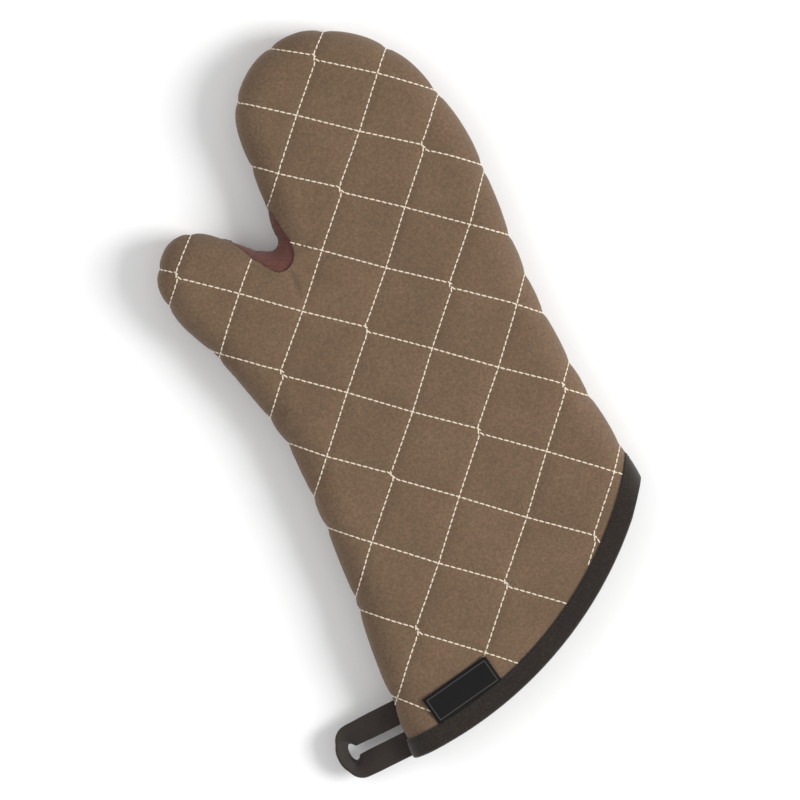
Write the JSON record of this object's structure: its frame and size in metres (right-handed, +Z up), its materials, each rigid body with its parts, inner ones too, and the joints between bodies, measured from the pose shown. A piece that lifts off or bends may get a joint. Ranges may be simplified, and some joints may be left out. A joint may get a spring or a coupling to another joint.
{
  "type": "oven mitt",
  "caption": "Long quilted oven mitt with a flared bound cuff, web guard at the thumb, blank label and side hang loop.",
  "frame": {"origin": "on the table, under the middle of the mitt's whole box, hang loop included", "axes": "+Y along the mitt to the fingertips, -X to the thumb, +Z up from the table"},
  "size_m": [0.2498, 0.432, 0.0388],
  "materials": {
    "outer_cloth": "brown treated cotton duck, matt",
    "quilting_thread": "cream spun thread",
    "seam_thread": "brown spun thread",
    "binding_thread": "black-brown spun thread",
    "binding_tape": "black-brown folded bias tape",
    "guard_cloth": "maroon cotton duck",
    "label_weave": "black woven label, blank but for a plain border",
    "vapour_barrier": "thin translucent film",
    "batting": "off-white needled felt",
    "lining": "natural cotton terry"
  },
  "bodies": {
    "hand": {"outer_top_hand": "outer_cloth", "quilting_top_hand": "quilting_thread", "vapour_barrier_top_hand": "vapour_barrier", "batting_top_hand": "batting", "lining_top_hand": "lining", "outer_bottom_hand": "outer_cloth", "quilting_bottom_hand": "quilting_thread", "vapour_barrier_bottom_hand": "vapour_barrier", "batting_bottom_hand": "batting", "lining_bottom_hand": "lining", "side_seam_hand": "seam_thread", "web_guard": "guard_cloth", "web_guard_stitching": "quilting_thread", "cuff_binding": "binding_tape", "cuff_binding_stitching": "binding_thread"},
    "fingers": {"outer_top_fingers": "outer_cloth", "quilting_top_fingers": "quilting_thread", "vapour_barrier_top_fingers": "vapour_barrier", "batting_top_fingers": "batting", "lining_top_fingers": "lining", "outer_bottom_fingers": "outer_cloth", "quilting_bottom_fingers": "quilting_thread", "vapour_barrier_bottom_fingers": "vapour_barrier", "batting_bottom_fingers": "batting", "lining_bottom_fingers": "lining", "side_seam_fingers": "seam_thread"},
    "thumb": {"outer_top_thumb": "outer_cloth", "quilting_top_thumb": "quilting_thread", "vapour_barrier_top_thumb": "vapour_barrier", "batting_top_thumb": "batting", "lining_top_thumb": "lining", "outer_bottom_thumb": "outer_cloth", "quilting_bottom_thumb": "quilting_thread", "vapour_barrier_bottom_thumb": "vapour_barrier", "batting_bottom_thumb": "batting", "lining_bottom_thumb": "lining", "side_seam_thumb": "seam_thread"},
    "label": {"label": "label_weave"},
    "hang_loop": {"hang_loop": "binding_tape", "hang_loop_stitching": "binding_thread"}
  },
  "joints": [
    {"name": "finger_fold", "type": "hinge", "parent": "hand", "child": "fingers", "pos_m": [0.059, 0.131, 0.038], "axis": [1, 0, 0], "range_deg": [0, 75], "stiffness_Nm_per_rad": 0.05},
    {"name": "thumb_fold", "type": "hinge", "parent": "hand", "child": "thumb", "pos_m": [-0.04434, 0.0795, 0.038], "axis": [0.6039, 0.7971, 0], "range_deg": [0, 60], "stiffness_Nm_per_rad": 0.03},
    {"name": "hang_loop_swing", "type": "hinge", "parent": "hand", "child": "hang_loop", "pos_m": [-0.0838, -0.1956, 0.019], "axis": [0, 1, 0], "range_deg": [0, 105]},
    {"name": "label_flap", "type": "hinge", "parent": "hand", "child": "label", "pos_m": [-0.03575, -0.19896, 0.0388], "axis": [0.9895, 0.1443, 0], "range_deg": [0, 105]}
  ]
}
